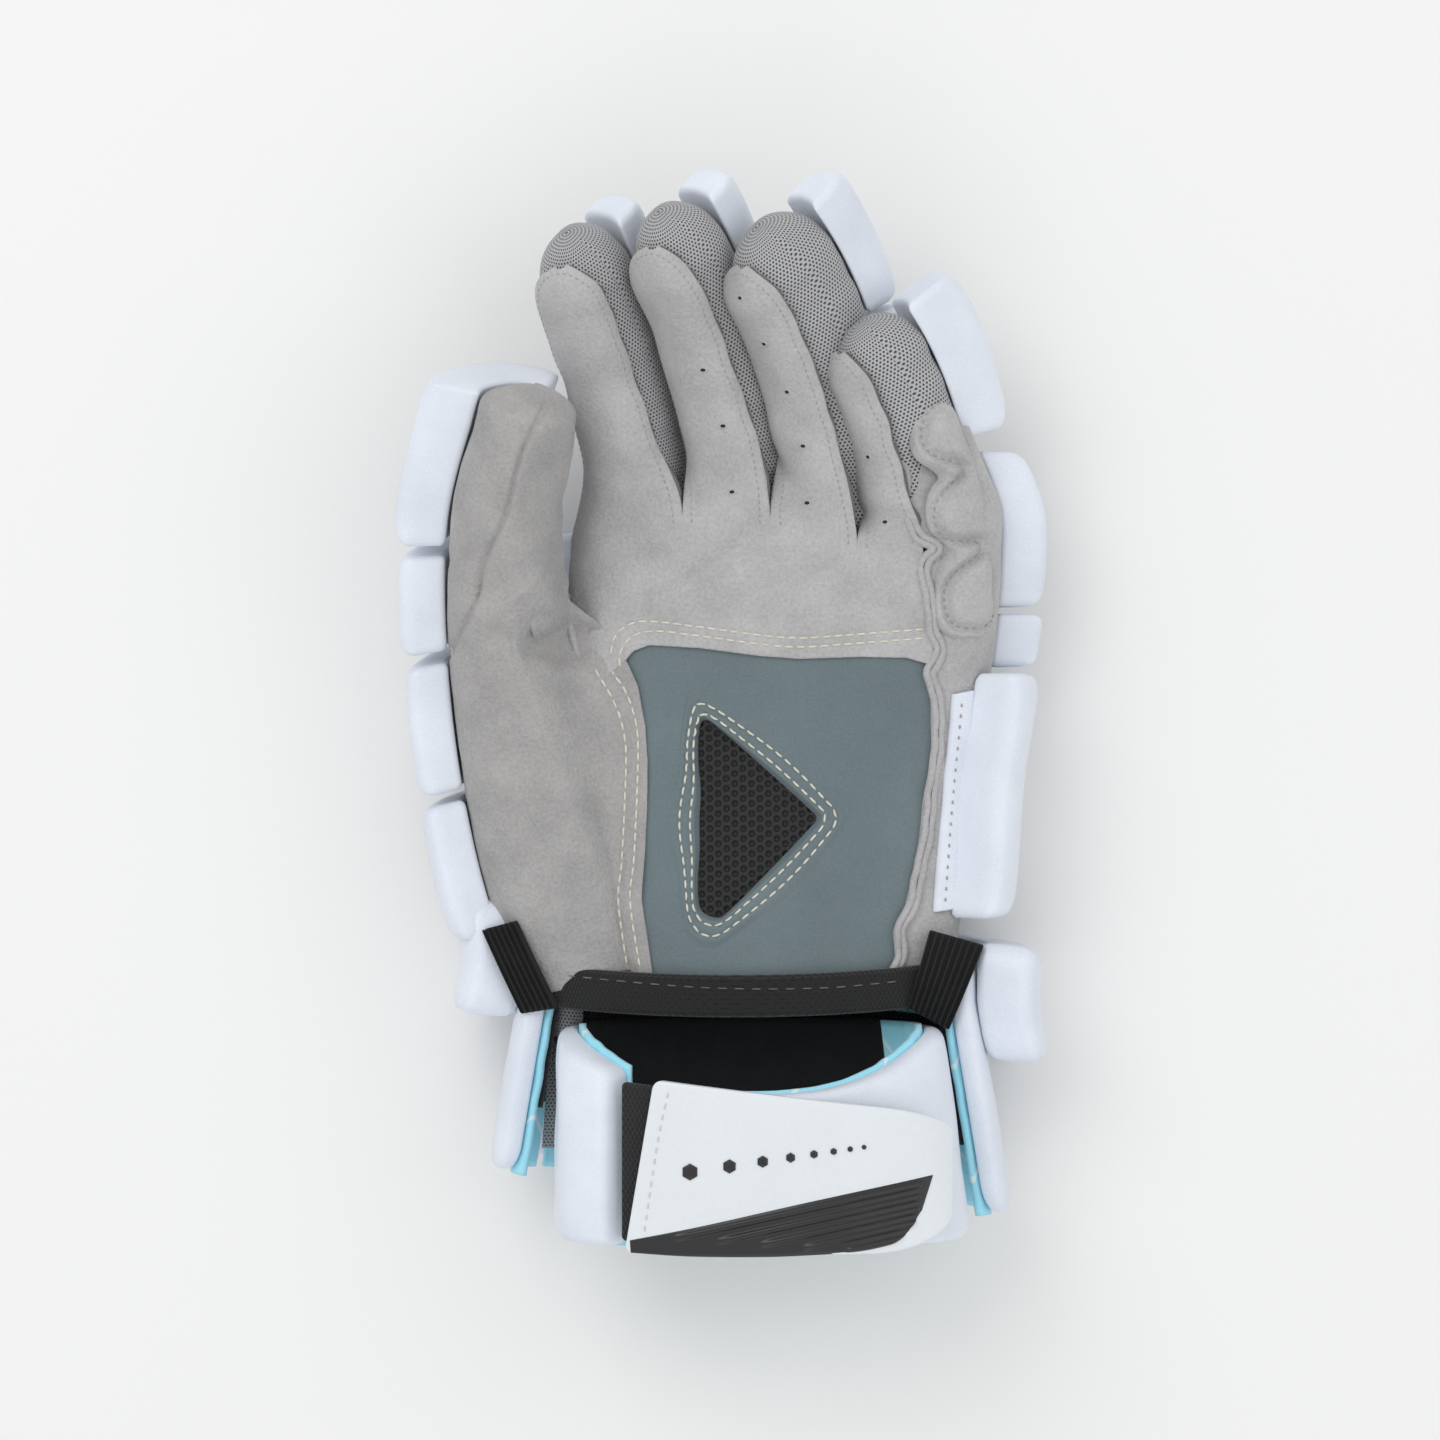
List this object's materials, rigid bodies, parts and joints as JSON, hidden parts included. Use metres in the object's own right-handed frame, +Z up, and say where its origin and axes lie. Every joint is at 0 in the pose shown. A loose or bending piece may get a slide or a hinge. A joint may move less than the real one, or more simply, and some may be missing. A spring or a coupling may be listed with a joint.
{
  "type": "lacrosse glove",
  "caption": "Left-hand lacrosse glove with foam-padded back, thumb and fingers, suede palm, flared cuff flaps and a padded wristband, lying palm up.",
  "frame": {"origin": "middle of the foot of the whole glove, on the surface it lies on", "axes": "+Z up out of the palm, +Y from the wrist towards the fingertips, +X across the palm towards the little finger"},
  "size_m": [0.1996, 0.3282, 0.0889],
  "materials": {
    "suede": "soft grey synthetic suede, very matte",
    "mesh": "grey knitted mesh with small dark holes",
    "pad": "white smooth synthetic leather over foam, satin",
    "patch": "grey-teal synthetic suede, very matte",
    "knit": "black knitted fabric and elastic webbing",
    "lining": "light blue printed lining cloth",
    "plate": "pale moulded rubber label, partly dark"
  },
  "bodies": {
    "root": {"back_pad_knuckle_1": "pad", "back_pad_knuckle_2": "pad", "back_pad_knuckle_3": "pad", "back_pad_low_1": "pad", "back_pad_low_2": "pad", "back_pad_middle_1": "pad", "back_pad_middle_2": "pad", "back_pad_middle_3": "pad", "back_pad_upper_1": "pad", "back_pad_upper_2": "pad", "back_pad_upper_3": "pad", "back_pad_upper_4": "pad", "band": "pad", "band_lining": "lining", "cuff_flap_back": "pad", "cuff_flap_left": "pad", "cuff_flap_right": "pad", "cuff_underlay": "knit", "elastic_left": "knit", "elastic_right": "knit", "finger_pad_index_base": "pad", "finger_pad_index_mid": "pad", "finger_pad_index_tip": "pad", "finger_pad_little_tip": "pad", "finger_pad_middle_base": "pad", "finger_pad_middle_mid": "pad", "finger_pad_middle_tip": "pad", "finger_pad_ring_base": "pad", "finger_pad_ring_mid": "pad", "finger_pad_ring_tip": "pad", "finger_sleeve_index": "mesh", "finger_sleeve_little": "mesh", "finger_sleeve_middle": "mesh", "finger_sleeve_ring": "mesh", "flap_lining_back": "lining", "flap_lining_left": "lining", "flap_lining_right": "lining", "hand_back": "suede", "knuckle_pad_little": "pad", "palm_hem": "knit", "palm_patch": "patch", "palm_suede": "suede", "side_pad": "suede", "side_roll": "pad", "side_suede": "suede", "strap_elastic": "knit", "strap_plate": "plate", "thumb_gusset": "suede", "thumb_pad_base": "pad", "thumb_pad_lower": "pad", "thumb_pad_tip": "pad", "thumb_pad_upper": "pad", "thumb_suede": "suede", "vent_mesh": "knit", "wrist_roll": "pad"}
  },
  "joints": []
}
